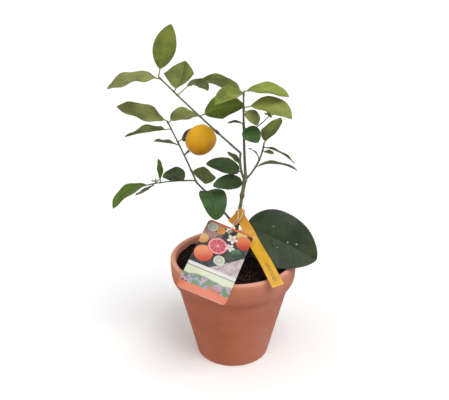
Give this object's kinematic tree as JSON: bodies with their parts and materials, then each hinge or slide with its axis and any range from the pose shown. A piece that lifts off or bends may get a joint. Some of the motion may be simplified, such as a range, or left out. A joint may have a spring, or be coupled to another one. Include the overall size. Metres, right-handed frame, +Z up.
{
  "type": "potted lemon tree",
  "caption": "Young lemon tree in a terracotta pot: slim forked stem, open leafy crown, ripe fruit, picture label and looped strip label.",
  "frame": {"origin": "centre of the pot's flat underside, on its axis", "axes": "+Z up along the pot's axis, -Y to the front where the labels hang, +X to the right seen from the front"},
  "size_m": [0.2271, 0.1768, 0.3937],
  "materials": {
    "terracotta": "unglazed, matt, with pale bloom",
    "soil": "moist potting compost with bark chips",
    "bark": "smooth young bark",
    "twig": "green young wood",
    "young_leaf": "soft satin, light olive green",
    "mature_leaf": "satin, mid green",
    "old_leaf": "leathery, dark green, slight gloss",
    "fruit": "dimpled satin peel",
    "card": "printed, satin coated",
    "strip": "satin",
    "thread": "covered elastic"
  },
  "bodies": {
    "root": {"pot": "terracotta", "soil": "soil", "trunk": "bark", "bough_left": "twig", "bough_left_foot": "twig", "bough_low": "twig", "bough_low_top": "twig", "bough_right": "twig", "leader": "twig", "leaf_bough_under": "mature_leaf", "leaf_crest_fold": "young_leaf", "leaf_crest_left": "young_leaf", "leaf_crest_right": "young_leaf", "leaf_fork_left": "old_leaf", "leaf_fruit": "mature_leaf", "leaf_great": "old_leaf", "leaf_halfmoon": "young_leaf", "leaf_hanging": "old_leaf", "leaf_inner": "mature_leaf", "leaf_leader_front": "young_leaf", "leaf_leader_left": "young_leaf", "leaf_leader_right": "young_leaf", "leaf_low_left": "young_leaf", "leaf_low_right": "young_leaf", "leaf_low_second": "young_leaf", "leaf_low_third": "mature_leaf", "leaf_right_arch": "mature_leaf", "leaf_right_inner": "mature_leaf", "leaf_right_low": "mature_leaf", "leaf_right_small": "young_leaf", "leaf_right_upright": "mature_leaf", "leaf_stem_behind": "mature_leaf", "leaf_stem_dark": "old_leaf", "leaf_stem_left": "old_leaf", "leaf_stem_small": "mature_leaf", "leaf_top": "young_leaf", "leaf_twig_dark": "old_leaf", "leaf_twig_far": "mature_leaf", "leaf_twig_under": "mature_leaf", "leaf_twig_upright": "young_leaf", "leaf_under_moon": "mature_leaf", "lemon": "fruit", "lemon_stalk": "twig", "picture_label": "card", "strip_label": "strip", "thread": "thread", "tuft_back": "young_leaf", "tuft_low": "young_leaf", "twig_back": "twig", "twig_low": "twig"}
  },
  "joints": []
}
